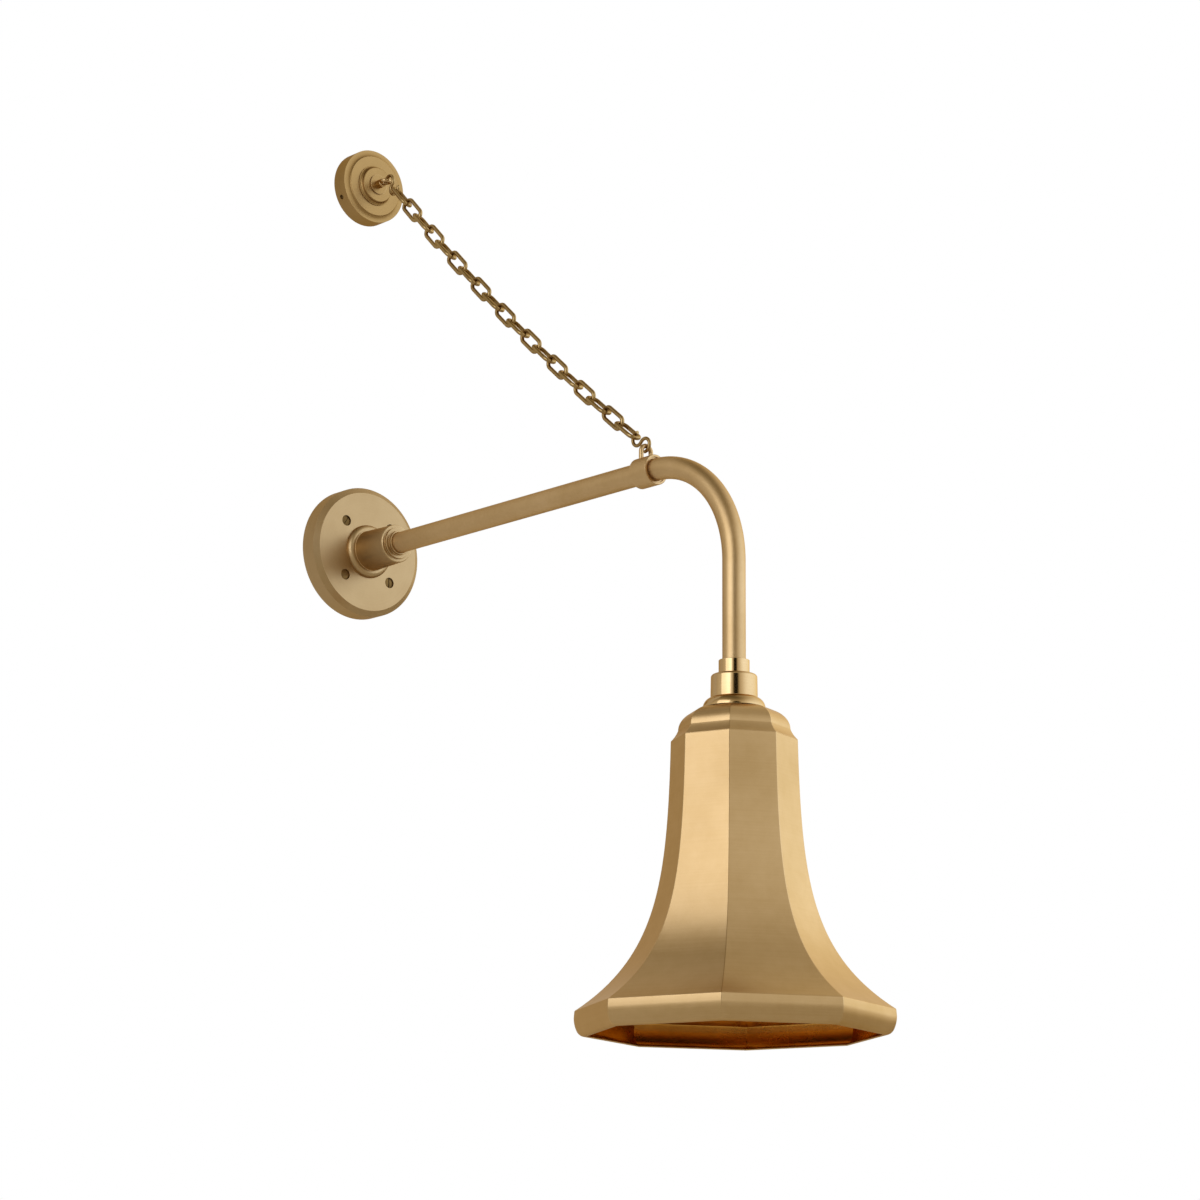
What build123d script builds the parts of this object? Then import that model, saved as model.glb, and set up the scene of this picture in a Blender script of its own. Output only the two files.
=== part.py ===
from build123d import *
from math import atan2, cos, degrees, exp, hypot, pi, radians, sin, sqrt
import os

# Frame: wall plane Y = 0, light stands out along -Y, +Z up, arm axis on X = 0, Z = 0.

# arm and where things stand
arm_reach = 508.0
arm_r = 9.525
arm_wall = 1.6
arm_bend_r = 95.25
arm_foot_z = -184.7
arm_rear = 10.5
canopy_height = 355.6

# clearances
slip = 0.075
thread_gap = 0.05
link_gap = 0.3

# lower wall plate
plate_r = 60.325
plate_depth = 19.05
plate_edge_depth = 17.8
plate_face_r = 55.4
sheet = 2.0
screw_offset = 25.4
screw_head_r = 4.7
screw_r = 2.0
recess_depth = 2.15
recess_floor = 1.5

# mounting ring and its fixings
strap_inner_r = 31.0
strap_outer_r = 54.0
strap_thickness = 2.0
box_screw_spacing = 88.9
box_slot_r = 2.3
box_slot_length = 9.0
ground_screw_r = 44.0
washer_r = 15.5
washer_thickness = 1.0
lock_nut_flats = 24.0
lock_nut_thickness = 5.0

# turned boss in front of the plate
boss_bead_r = 24.7
boss_bead_depth = 5.25
boss_neck_r = 20.4
boss_rear_r = 18.6
boss_front_r = 17.5
boss_length = 43.15
boss_tiers = ((14.3, 2.2), (11.1, 3.0))

# chain collar and its eye on the arm
collar_r = 13.0
collar_length = 20.6
collar_past_bend = 1.25
collar_chamfer = 0.5
collar_mouth_r = 11.0
collar_mouth_depth = 1.2
eye_wire_r = 2.0
eye_half_width = 5.4
eye_from_rear = 7.5
eye_top = 23.0
eye_foot = 9.6
collar_screw_from_rear = 14.6
grub_r = 1.6

# pendant stack under the arm
coupling_r = 12.55
coupling_top = -177.8
coupling_length = 11.9
collar_ring_r = 18.8
collar_ring_foot_r = 19.1
collar_ring_foot = -209.0
collar_ring_round = 2.4
flange_neck_r = 19.4
flange_r = 25.3
flange_bulge = 1.3
flange_lip_z = -216.3
nipple_r = 4.95
nipple_bore_r = 3.6
nipple_top = -180.0
nipple_foot = -226.0

# octagonal shade, all radii to the corners
shade_sides = 8
shade_turn = 3.04
shade_skin = 1.4
crown_top = -217.5
crown_flat_r = 21.5
crown_r = 45.3
crown_side_z = -235.0
cove_dip = 0.6
neck_z = -243.5
neck_r = 51.2
flare_length = 50.0
rim_r = 127.8
rim_crease_in = 0.5
rim_crease_z = -459.4
rim_belly_z = -465.0
rim_turn_in = 2.4
rim_turn_z = -475.5
rim_lip_in = 9.3
rim_foot_z = -480.0

# lamp holder
crown_nut_flats = 14.0
crown_nut_thickness = 3.6
cap_r = 19.5
cap_wall = 0.9
cap_depth = 14.0
body_top = -233.0
body_foot = -274.0
body_r = 19.4
body_web = 12.0
shell_r = 13.3
shell_wall = 0.6
shell_foot = -272.0
shell_taper = 3.8
shell_floor_r = 9.5
shell_hole_r = 6.5
terminal_x = 11.0
wire_r = 0.9
wire_pair_x = 1.2

# upper canopy
cup_r = 34.925
cup_edge_depth = 15.4
cup_depth = 17.5
cup_face_r = 28.6
tier_one = (19.2, 2.2)
tier_two = (16.8, 2.3)
tier_round = 0.9
stud_r = 3.0
stud_front_r = 4.0
stud_front = 30.0
stud_rear = 14.0
anchor_washer_r = 9.5
anchor_washer_thickness = 1.2
anchor_disc_gap = 0.1
anchor_disc_floor = 2.5
anchor_disc_depth = 12.0
anchor_screw_pcd = 40.0
anchor_screw_hole_r = 2.4
cup_screw_depth = 7.0
cup_screw_angle = -153.0
cup_screw_r = 2.2
cup_screw_sink = 1.3
stud_nut_flats = 11.0
stud_nut_thickness = 4.0

# chain
ring_depth = 33.4
ring_r = 4.2
ring_wire_r = 1.6
hook_wire_r = 1.5
hook_r = 5.8
hook_sweep = 235.0
link_wire_r = 1.85
link_width = 14.6
link_count = 19
chain_sag = 12.9
twist_top = 12.0
twist_foot = -4.0

steps = 400


def turned(*outline):
    return revolve(make_face(Plane.XZ * Polyline(*outline, close=True)), Axis.Z)


def turned_faces(*edges):
    return revolve(make_face(Plane.XZ * (Curve() + list(edges))), Axis.Z)


def drum(r, z0, z1, x=0.0, y=0.0):
    return Pos(x, y, (z0 + z1) / 2) * Cylinder(r, abs(z1 - z0))


def bent(bend, r, turn=360.0):
    return Torus(bend, r, major_angle=turn, align=None)


def hex_nut(flats, thickness, bore):
    blank = extrude(RegularPolygon(flats / 2, 6, major_radius=False), thickness)
    return blank - drum(bore, -1, thickness + 1)


def out_of_wall(shape, height=0.0):
    return Pos(0, 0, height) * Rot(90, 0, 0) * shape


def on_drop(shape):
    return Pos(0, -arm_reach, 0) * shape


def rod(start, end, r):
    a = Vector(*start)
    b = Vector(*end)
    return Plane(a, z_dir=b - a) * drum(r, 0, (b - a).length)


def lead(points, radii, r):
    # straight runs joined by tangent arcs at each inner point
    corners = [Vector(*p) for p in points]
    edges = []
    start = corners[0]
    for before, here, after, bend in zip(corners, corners[1:], corners[2:], radii):
        back = (before - here).normalized()
        ahead = (after - here).normalized()
        half = radians(back.get_angle(ahead)) / 2
        setback = bend * cos(half) / sin(half)
        enter = here + back * setback
        leave = here + ahead * setback
        middle = (back + ahead).normalized()
        top = here + middle * (bend / sin(half) - bend)
        edges += [Line(start, enter), ThreePointArc(enter, top, leave)]
        start = leave
    edges.append(Line(start, corners[-1]))
    profile = Plane(corners[0], z_dir=corners[1] - corners[0]) * Circle(r)
    return sweep(profile, path=Wire(edges))


parts = {}

# ---------------------------------------------------------------- lower plate
inner_face = plate_depth - sheet
plate_bore_r = arm_r + 3 * slip
plate = turned(
    (plate_bore_r, plate_depth), (plate_face_r, plate_depth), (plate_r, plate_edge_depth),
    (plate_r, 0), (plate_r - sheet, 0), (plate_r - sheet, plate_edge_depth - sheet),
    (plate_face_r - sheet / 2, inner_face), (plate_bore_r, inner_face))
recess_z = plate_depth - recess_depth
recess_r = screw_head_r + 0.25
screw_spots = [(sx * screw_offset, sy * screw_offset) for sx in (-1, 1) for sy in (-1, 1)]
for x, y in screw_spots:
    plate += drum(recess_r + 1.3, recess_z - recess_floor, plate_depth - 0.5, x, y)
for x, y in screw_spots:
    plate -= drum(recess_r, recess_z, plate_depth + 1, x, y)
    plate -= drum(screw_r + 0.3, 0, recess_z + 1, x, y)
parts["wall_plate"] = out_of_wall(plate)

head_top = plate_depth - 0.35
plate_screw = drum(screw_head_r, recess_z, head_top) + drum(screw_r, 0.3, recess_z)
plate_screw -= Pos(0, 0, head_top) * Box(2.2 * screw_head_r, 1.1, 2.0)
parts["plate_screws"] = Compound(
    children=[out_of_wall(Pos(x, y, 0) * Rot(0, 0, 20 + 70 * (x > 0) + 35 * (y > 0)) * plate_screw)
              for x, y in screw_spots])

strap = drum(strap_outer_r, 0, strap_thickness) - drum(strap_inner_r, -1, 3)
for x, y in screw_spots:
    strap -= drum(screw_r + thread_gap, -1, 3, x, y)
for side in (-1, 1):
    slot = extrude(SlotOverall(box_slot_length, 2 * box_slot_r), 4)
    strap -= Pos(side * box_screw_spacing / 2, 0, -1) * slot
strap -= drum(screw_r + thread_gap, -1, 3, 0, -ground_screw_r)
parts["mounting_strap"] = out_of_wall(strap)

ground = drum(screw_r, 0.2, strap_thickness) + drum(3.6, strap_thickness, strap_thickness + 2.2)
ground -= Pos(0, 0, strap_thickness + 2.2) * Box(8, 1.0, 2.0)
parts["ground_screw"] = out_of_wall(Pos(0, -ground_screw_r, 0) * ground)

# ---------------------------------------------------------------- boss and arm
bore_r = arm_r + slip
boss_edge = plate_depth + boss_length
front = boss_edge + sum(t for r, t in boss_tiers)
bead = [
    Line((bore_r, plate_depth), (boss_bead_r, plate_depth)),
    EllipticalCenterArc((boss_neck_r, plate_depth), boss_bead_r - boss_neck_r, boss_bead_depth,
                        0, arc_size=90),
    Line((boss_neck_r, plate_depth + boss_bead_depth), (boss_rear_r, plate_depth + boss_bead_depth)),
    Polyline((boss_rear_r, plate_depth + boss_bead_depth), (boss_front_r, boss_edge - 1.2),
             (boss_front_r - 0.6, boss_edge), (boss_tiers[0][0], boss_edge),
             (boss_tiers[0][0], boss_edge + boss_tiers[0][1]),
             (boss_tiers[1][0], boss_edge + boss_tiers[0][1]), (boss_tiers[1][0], front),
             (bore_r, front), (bore_r, plate_depth))]
parts["arm_boss"] = out_of_wall(turned_faces(*bead))

washer = drum(washer_r, inner_face - washer_thickness, inner_face) - drum(bore_r, 0, 99)
parts["boss_washer"] = out_of_wall(washer)
nut_rear = inner_face - washer_thickness - lock_nut_thickness
parts["boss_lock_nut"] = out_of_wall(
    Pos(0, 0, nut_rear) * hex_nut(lock_nut_flats, lock_nut_thickness, bore_r))

bend_start = arm_reach - arm_bend_r
collar_rear = bend_start + collar_past_bend - collar_length
eye_depth = collar_rear + eye_from_rear
collar_screw_depth = collar_rear + collar_screw_from_rear


def arm_solid(r):
    run = out_of_wall(drum(r, arm_rear, bend_start))
    elbow = Plane((0, -bend_start, -arm_bend_r), x_dir=(0, 0, 1), z_dir=(1, 0, 0))
    quarter = elbow * bent(arm_bend_r, r, 90)
    drop = on_drop(drum(r, -arm_bend_r, arm_foot_z))
    return run, quarter, drop


outer = arm_solid(arm_r)
inner = arm_solid(arm_r - arm_wall)
legs = [o - i for o, i in zip(outer, inner)]
parts["arm_tube"] = legs[0] + legs[1] + legs[2]

# ---------------------------------------------------------------- chain collar
collar = turned(
    (bore_r, 0), (collar_r - collar_chamfer, 0), (collar_r, collar_chamfer),
    (collar_r, collar_length - collar_chamfer), (collar_r - collar_chamfer, collar_length),
    (collar_mouth_r, collar_length), (collar_mouth_r, collar_length - collar_mouth_depth),
    (bore_r, collar_length - collar_mouth_depth))
collar = out_of_wall(Pos(0, 0, collar_rear) * collar)
eye_arc_z = eye_top - eye_half_width
for side in (-1, 1):
    collar -= drum(eye_wire_r + thread_gap, eye_foot, collar_r + 1, side * eye_half_width, -eye_depth)
collar -= rod((arm_r, -collar_screw_depth, 0), (collar_r + 1, -collar_screw_depth, 0),
              grub_r + thread_gap)
parts["chain_collar"] = collar

eye = Pos(0, -eye_depth, eye_arc_z) * Rot(90, 0, 0) * bent(eye_half_width, eye_wire_r, 180)
for side in (-1, 1):
    eye += drum(eye_wire_r, eye_foot, eye_arc_z, side * eye_half_width, -eye_depth)
parts["collar_eye"] = eye


def grub(r, tip, tail):
    # headless screw along +Z with a socket in its tail
    return drum(r, tip, tail) - drum(r / 2, tail - 1.0, tail + 1)


parts["collar_set_screw"] = (
    Pos(0, -collar_screw_depth, 0) * Rot(0, 90, 0) * grub(grub_r, arm_r, collar_r - 0.4))

# ---------------------------------------------------------------- pendant stack
thread_r = nipple_r + thread_gap
coupling_foot = coupling_top - coupling_length
edge = 0.5
coupling = turned(
    (bore_r, coupling_top), (coupling_r - edge, coupling_top), (coupling_r, coupling_top - edge),
    (coupling_r, coupling_foot + edge), (coupling_r - edge, coupling_foot), (thread_r, coupling_foot),
    (thread_r, arm_foot_z), (bore_r, arm_foot_z))
parts["rod_coupling"] = on_drop(coupling)

shoulder = Line((thread_r, coupling_foot), (collar_ring_r - collar_ring_round, coupling_foot))
corner = EllipticalCenterArc(
    (collar_ring_r - collar_ring_round, coupling_foot - collar_ring_round),
    collar_ring_round, collar_ring_round, 0, arc_size=90)
skirt = Polyline(
    (collar_ring_r, coupling_foot - collar_ring_round), (collar_ring_foot_r, collar_ring_foot),
    (collar_ring_foot_r - 4.5, collar_ring_foot), (collar_ring_foot_r - 4.5, coupling_foot - 7),
    (thread_r, coupling_foot - 7), (thread_r, coupling_foot))
parts["shade_ring"] = on_drop(turned_faces(shoulder, corner, skirt))

flange_run = flange_r - flange_neck_r
flange_fall = collar_ring_foot - flange_lip_z
bulge = flange_bulge / hypot(flange_run, flange_fall)
flare = [
    Line((thread_r, collar_ring_foot), (flange_neck_r, collar_ring_foot)),
    ThreePointArc((flange_neck_r, collar_ring_foot),
                  (flange_neck_r + flange_run / 2 + bulge * flange_fall,
                   collar_ring_foot - flange_fall / 2 + bulge * flange_run),
                  (flange_r, flange_lip_z)),
    Polyline((flange_r, flange_lip_z), (flange_r, crown_top), (thread_r, crown_top),
             (thread_r, collar_ring_foot))]
parts["shade_flange"] = on_drop(turned_faces(*flare))

# ---------------------------------------------------------------- octagonal shade
flat = cos(pi / shade_sides)
flare_fall = neck_z - rim_crease_z
flare_spread = rim_r - rim_crease_in - neck_r
flare_scale = flare_spread / (exp(flare_fall / flare_length) - 1)
rim_turn_r = rim_r - rim_turn_in
rim_lip_r = rim_r - rim_lip_in


def octagonal(half_outline):
    # the section is mirrored, run across, and met by its turned copies
    face = make_face(Plane.XZ * (half_outline + mirror(half_outline, Plane.YZ)))
    slab = extrude(face, 1.2 * rim_r, both=True)
    copies = [Rot(0, 0, 22.5 - shade_turn + 45 * k) * slab for k in range(shade_sides // 2)]
    solid = copies[0]
    for copy in copies[1:]:
        solid = solid & copy
    return solid


def flare_point(down, inset):
    wide = flat * (neck_r + flare_scale * (exp(down / flare_length) - 1))
    slope = flat * flare_scale * exp(down / flare_length) / flare_length
    grow = inset / sqrt(1 + slope * slope)
    return wide - grow, neck_z - down - grow * slope


def crown_outline(inset):
    side_x = flat * crown_r - inset
    top = crown_top - inset
    wide = flat * crown_flat_r
    dome = EllipticalCenterArc((wide, crown_side_z), side_x - wide, top - crown_side_z, 0, arc_size=90)
    # the cove is a shallow arc whose centre stands outside the shade
    run = flat * (neck_r - crown_r)
    fall = crown_side_z - neck_z
    span = hypot(run, fall)
    bend = span * span / (8 * cove_dip) + cove_dip / 2
    stand = bend - cove_dip
    centre_x = flat * crown_r + run / 2 + stand * fall / span
    centre_z = crown_side_z - fall / 2 + stand * run / span
    deep = bend + inset
    start = (centre_x + (flat * crown_r - centre_x) * deep / bend,
             centre_z + (crown_side_z - centre_z) * deep / bend)
    middle = (centre_x - deep * fall / span, centre_z - deep * run / span)
    end = (centre_x - sqrt(deep * deep - (centre_z - neck_z) ** 2), neck_z)
    outline = Curve() + [Line((0, top), (wide, top)), dome]
    if inset:
        outline += Line((side_x, crown_side_z), start)
    outline += ThreePointArc(start, middle, end)
    if inset:
        outline += Polyline(end, (end[0], neck_z - 8), (0, neck_z - 8))
    else:
        outline += Line(end, (0, neck_z))
    return outline


def bell_outline(inset):
    marks = [flare_fall * (k / 14) for k in range(15)]
    spots = [flare_point(down, inset) for down in marks]
    belly = (flat * rim_r - inset, rim_belly_z)
    drop = rim_belly_z - rim_turn_z
    lean = 2 * atan2(flat * (rim_r - rim_turn_r), drop)
    turn = (flat * rim_turn_r - inset * cos(lean), rim_turn_z + inset * sin(lean))
    lip = (flat * rim_lip_r, rim_foot_z + inset)
    top = neck_z + (4 if inset else 0)
    outline = Curve() + [Line((0, top), (spots[0][0], top))]
    if inset:
        outline += Line((spots[0][0], top), spots[0])
    outline += Spline(*spots)
    outline += Line(spots[-1], belly)
    outline += TangentArc(belly, turn, tangent=(0, -1))
    outline += TangentArc(turn, lip, tangent=(-sin(lean), -cos(lean)))
    last = rim_foot_z - (4 if inset else 0)
    if inset:
        outline += Polyline(lip, (lip[0], last), (0, last))
    else:
        outline += Line(lip, (0, last))
    return outline


crown = octagonal(crown_outline(0)) - octagonal(crown_outline(shade_skin))
crown -= drum(thread_r, crown_top - 9, crown_top + 9)
parts["shade_crown"] = on_drop(crown)
parts["shade_bell"] = on_drop(octagonal(bell_outline(0)) - octagonal(bell_outline(shade_skin)))

# ---------------------------------------------------------------- lamp holder
nut_top = crown_top - shade_skin
cap_top = nut_top - crown_nut_thickness
parts["crown_nut"] = on_drop(
    Pos(0, 0, cap_top) * hex_nut(crown_nut_flats, crown_nut_thickness, thread_r))
parts["socket_nipple"] = on_drop(
    drum(nipple_r, nipple_top, nipple_foot) - drum(nipple_bore_r, nipple_top + 1, nipple_foot - 1))
cap = turned(
    (thread_r, cap_top), (cap_r - 3, cap_top), (cap_r, cap_top - 3), (cap_r, cap_top - cap_depth),
    (cap_r - cap_wall, cap_top - cap_depth), (cap_r - cap_wall, cap_top - 3.4),
    (cap_r - 3.4, cap_top - cap_wall), (thread_r, cap_top - cap_wall))
parts["socket_cap"] = on_drop(cap)

cap_foot = cap_top - cap_depth
web_foot = body_top - body_web
spigot_r = cap_r - cap_wall - slip
body_bore_r = shell_r + shell_wall + thread_gap
body = turned(
    (0, body_top), (spigot_r, body_top), (spigot_r, cap_foot), (body_r, cap_foot),
    (body_r, body_foot + 1.5), (body_r - 1.5, body_foot), (body_bore_r, body_foot),
    (body_bore_r, web_foot), (0, web_foot))
for side in (-1, 1):
    body -= drum(1.6 + thread_gap, body_top - 6, body_top + 1, side * terminal_x)
body -= drum(1.5 + thread_gap, web_foot - 1, body_top + 1)
parts["socket_body"] = on_drop(body)

shell_floor = web_foot - shell_wall
shell = turned(
    (shell_r + shell_wall, shell_foot), (shell_r + shell_wall, shell_floor - shell_taper),
    (shell_floor_r + shell_wall, web_foot), (shell_hole_r, web_foot), (shell_hole_r, shell_floor),
    (shell_floor_r, shell_floor), (shell_r, shell_floor - shell_taper), (shell_r, shell_foot))
parts["screw_shell"] = on_drop(shell)
contact = drum(4.2, web_foot - 1.0, web_foot) + drum(1.5, web_foot, body_top)
contact += Pos(0, 0, web_foot - 1.0) * Sphere(2.4) & drum(4.2, web_foot - 4, web_foot)
parts["centre_contact"] = on_drop(contact)
wire_lay_z = body_top + wire_r
head_foot = wire_lay_z + wire_r
terminal = drum(1.6, body_top - 5.8, head_foot) + drum(3.0, head_foot, head_foot + 1.6)
terminal -= Pos(0, 0, head_foot + 1.6) * Box(7, 0.8, 1.6)
parts["terminal_screws"] = Compound(
    children=[on_drop(Pos(side * terminal_x, 0, 0) * terminal) for side in (-1, 1)])

# ---------------------------------------------------------------- leads inside the arm
splice_x = 18.0
splice_depth = 5.6
splice_top = -6.0
splice_length = 15.0
turn_r = 4.5
for side, name in ((1, "live_wire"), (-1, "neutral_wire")):
    near = side * wire_pair_x
    path = [(side * (terminal_x - 1.8), -arm_reach, wire_lay_z), (near, -arm_reach, wire_lay_z),
            (near, -arm_reach, 0), (near, -splice_depth, 0),
            (side * splice_x, -splice_depth, 0), (side * splice_x, -splice_depth, splice_top - 8)]
    parts[name] = lead(path, [turn_r, arm_bend_r, turn_r, turn_r], wire_r)

connector = turned((wire_r + thread_gap, 0), (3.6, 0), (4.4, -3), (3.2, -splice_length),
                   (0, -splice_length), (0, -9), (wire_r + thread_gap, -9))
parts["wire_connectors"] = Compound(
    children=[Pos(side * splice_x, -splice_depth, splice_top) * connector for side in (-1, 1)])

# ---------------------------------------------------------------- upper canopy
tier_one_depth = cup_depth + tier_one[1]
cup_front = tier_one_depth + tier_two[1]
stud_hole_r = stud_r + 0.2
cup_inner_r = cup_r - sheet
tier_edge = tier_two[0] - tier_round
cup_profile = [
    Polyline((stud_hole_r, cup_front - sheet), (stud_hole_r, cup_front), (tier_edge, cup_front)),
    EllipticalCenterArc((tier_edge, cup_front - tier_round), tier_round, tier_round, 0, arc_size=90),
    Polyline((tier_two[0], cup_front - tier_round), (tier_two[0], tier_one_depth),
             (tier_one[0], tier_one_depth), (tier_one[0], cup_depth), (cup_face_r, cup_depth),
             (cup_r, cup_edge_depth), (cup_r, 0), (cup_inner_r, 0),
             (cup_inner_r, cup_edge_depth - sheet / 2), (cup_face_r - 0.6, cup_depth - sheet),
             (tier_two[0] - 2.3, cup_depth - sheet), (tier_two[0] - 2.3, cup_front - sheet),
             (stud_hole_r, cup_front - sheet))]
cup = turned_faces(*cup_profile)
screw_angles = [cup_screw_angle + 120 * k for k in range(3)]
bolt = Pos(0, 0, cup_screw_depth) * Rot(0, 90, 0)
for angle in screw_angles:
    cup -= Rot(0, 0, angle) * (bolt * drum(cup_screw_r + thread_gap, cup_inner_r - 1, cup_r + 1))
parts["anchor_cup"] = out_of_wall(cup, canopy_height)

disc_r = cup_inner_r - anchor_disc_gap
disc = drum(disc_r, 0, anchor_disc_depth) - drum(disc_r - sheet, anchor_disc_floor, anchor_disc_depth + 1)
for k in range(4):
    disc -= Rot(0, 0, 45 + 90 * k) * drum(anchor_screw_hole_r, -1, 4, anchor_screw_pcd / 2)
for angle in screw_angles:
    disc -= Rot(0, 0, angle) * (bolt * drum(cup_screw_r + thread_gap, disc_r - sheet - 1, disc_r + 1))
parts["anchor_disc"] = out_of_wall(disc, canopy_height)
cup_grub = bolt * grub(cup_screw_r, disc_r - sheet - 1, cup_r - cup_screw_sink)
parts["cup_set_screws"] = Compound(
    children=[out_of_wall(Rot(0, 0, angle) * cup_grub, canopy_height) for angle in screw_angles])
washer_front = cup_front + anchor_washer_thickness
parts["anchor_washer"] = out_of_wall(
    drum(anchor_washer_r, cup_front, washer_front) - drum(stud_r + thread_gap, 0, 99), canopy_height)
stud = drum(stud_r, stud_rear, washer_front) + drum(stud_front_r, washer_front, stud_front)
stud += Pos(0, 0, ring_depth) * Rot(90, 0, 0) * bent(ring_r, ring_wire_r)
parts["anchor_eye"] = out_of_wall(stud, canopy_height)
nut_back = cup_front - sheet - stud_nut_thickness
parts["stud_nut"] = out_of_wall(
    Pos(0, 0, nut_back) * hex_nut(stud_nut_flats, stud_nut_thickness, stud_r + thread_gap),
    canopy_height)

# ---------------------------------------------------------------- chain
chain_top = Vector(0, -(ring_depth + ring_r), canopy_height)
chain_foot = Vector(0, -eye_depth, eye_top)
chord = chain_foot - chain_top


def hang(u):
    return chain_top + chord * u + Vector(0, 0, -4 * chain_sag * u * (1 - u))


track = [hang(k / steps) for k in range(steps + 1)]
runs = [0.0]
for a, b in zip(track, track[1:]):
    runs.append(runs[-1] + (b - a).length)


def along(distance):
    for k in range(steps):
        if runs[k + 1] >= distance:
            share = (distance - runs[k]) / (runs[k + 1] - runs[k])
            step = track[k + 1] - track[k]
            return track[k] + step * share, step.normalized()
    return track[-1], (track[-1] - track[-2]).normalized()


def hold(wire):
    # how far a held wire sits from the centre of the hook's curl
    return hook_r - hook_wire_r - wire - link_gap


crown_gap = 2 * link_wire_r + link_gap
span_top = hold(ring_wire_r) + 2 * hook_r + hold(link_wire_r)
span_foot = hold(eye_wire_r) + 2 * hook_r + hold(link_wire_r)
chain_run = runs[-1] - span_top - span_foot
crown_to_crown = (chain_run + (link_count - 1) * crown_gap) / link_count
pitch = crown_to_crown - crown_gap
half_width = link_width / 2 - link_wire_r
half_straight = crown_to_crown / 2 - half_width

half_link = Pos(half_straight, 0, 0) * Rot(0, 0, -90) * bent(half_width, link_wire_r, 180)
link = half_link + Rot(0, 0, 180) * half_link
for side in (-1, 1):
    link += rod((-half_straight, side * half_width, 0), (half_straight, side * half_width, 0), link_wire_r)

ends = []
for k in range(link_count):
    centre, ahead = along(span_top + crown_to_crown / 2 + k * pitch)
    twist = twist_top + (twist_foot - twist_top) * k / (link_count - 1)
    facing = Vector(1, 0, 0).rotate(Axis((0, 0, 0), ahead), -twist + (90 if k % 2 == 0 else 0))
    parts[f"link_{k + 1:02d}"] = Plane(centre, x_dir=ahead, z_dir=facing) * link
    ends.append((centre - ahead * (crown_to_crown / 2), centre + ahead * (crown_to_crown / 2)))

curl = bent(hook_r, hook_wire_r, hook_sweep)
lower_curl = Pos(hook_r, 0, 0) * Rot(0, 0, 180 - hook_sweep) * curl
hook = lower_curl + Rot(0, 0, 180) * lower_curl


def hook_at(start, end, first_hold, side):
    # the S lies in the chain's plane, its tips turned to the side asked for
    ahead = (end - start).normalized()
    middle = start + ahead * (first_hold + hook_r)
    return Plane(middle, x_dir=ahead, z_dir=Vector(side, 0, 0)) * hook


parts["top_hook"] = hook_at(chain_top, ends[0][0], hold(ring_wire_r), 1)
parts["bottom_hook"] = hook_at(ends[-1][1], chain_foot, hold(link_wire_r), -1)

os.makedirs("parts", exist_ok=True)
for name, shape in parts.items():
    export_step(shape, f"parts/{name}.step")
print(link_count, "links", round(pitch, 3), "pitch", round(crown_to_crown, 3))
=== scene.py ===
from math import atan2, cos, exp, pi, radians, sin

import bmesh
import bpy
from mathutils import Matrix, Vector


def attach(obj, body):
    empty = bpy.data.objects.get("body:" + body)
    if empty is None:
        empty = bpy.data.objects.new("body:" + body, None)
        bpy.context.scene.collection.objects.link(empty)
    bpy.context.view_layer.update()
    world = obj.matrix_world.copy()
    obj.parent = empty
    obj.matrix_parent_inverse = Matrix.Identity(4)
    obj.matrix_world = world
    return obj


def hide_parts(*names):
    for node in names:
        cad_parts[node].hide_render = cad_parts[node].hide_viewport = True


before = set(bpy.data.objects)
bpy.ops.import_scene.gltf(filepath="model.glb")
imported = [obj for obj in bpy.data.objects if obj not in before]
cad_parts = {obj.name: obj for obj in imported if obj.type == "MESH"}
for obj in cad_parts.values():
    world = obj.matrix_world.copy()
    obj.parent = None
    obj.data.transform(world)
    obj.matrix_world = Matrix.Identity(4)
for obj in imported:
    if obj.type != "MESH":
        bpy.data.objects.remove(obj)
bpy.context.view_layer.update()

mm = 0.001
fixedBody = "fixed"
chainBody = "chain"
dropY = -508.0  # the pendant's upright axis, mm from the wall
canopyZ = 355.6  # the upper canopy's centre above the arm
tubeBore = 9.6  # the hole in each piece that the arm's tube passes through
mergeGap = 1e-6  # corners closer than this, in metres, are one
print("frame loaded", len(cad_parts), "nodes")


class Wire:
    # one output socket, with arithmetic that adds Math nodes
    def __init__(self, paint, socket):
        self.paint = paint
        self.socket = socket

    def out(self, name):
        return Wire(self.paint, self.socket.node.outputs[name])

    def maths(self, operation, first, second=None):
        values = {0: first} if second is None else {0: first, 1: second}
        return self.paint.add("Math", values, operation=operation)

    def __add__(self, other):
        return self.maths("ADD", self, other)

    def __radd__(self, other):
        return self.maths("ADD", other, self)

    def __sub__(self, other):
        return self.maths("SUBTRACT", self, other)

    def __rsub__(self, other):
        return self.maths("SUBTRACT", other, self)

    def __mul__(self, other):
        return self.maths("MULTIPLY", self, other)

    def __rmul__(self, other):
        return self.maths("MULTIPLY", other, self)

    def __pow__(self, other):
        return self.maths("POWER", self, other)

    def atLeast(self, other):
        return self.maths("MAXIMUM", self, other)

    def root(self):
        return self.maths("SQRT", self)

    def between(self, low=0.0, high=1.0):
        return self.paint.add("Clamp", {"Value": self, "Min": low, "Max": high})


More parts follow.
